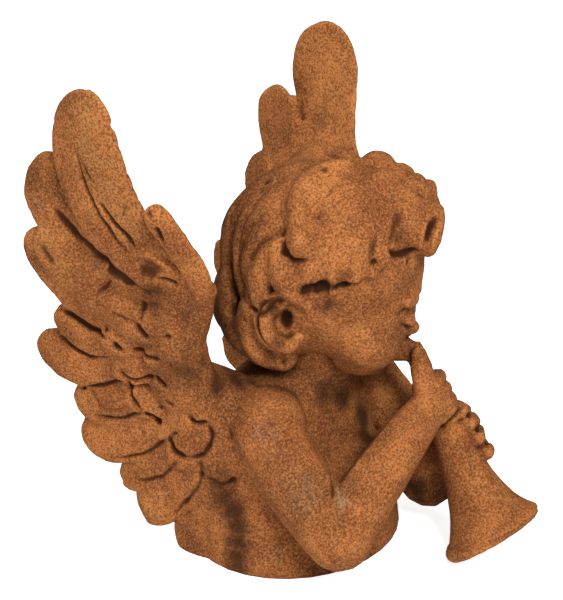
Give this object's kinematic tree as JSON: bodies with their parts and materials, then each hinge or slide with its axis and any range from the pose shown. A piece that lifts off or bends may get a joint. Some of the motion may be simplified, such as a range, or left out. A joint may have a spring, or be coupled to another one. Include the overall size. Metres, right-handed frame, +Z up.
{
  "type": "angel figurine",
  "caption": "Half-length winged cherub blowing a straight horn held in both hands, cast in one piece and cut flat below.",
  "frame": {"origin": "middle of the flat underside", "axes": "+Z up, the chest faces -Y, the figure's left side is +X"},
  "size_m": [0.1925, 0.2234, 0.2328],
  "materials": {
    "iron": "matt brown-orange rust"
  },
  "bodies": {
    "root": {"angel": "iron"}
  },
  "joints": []
}
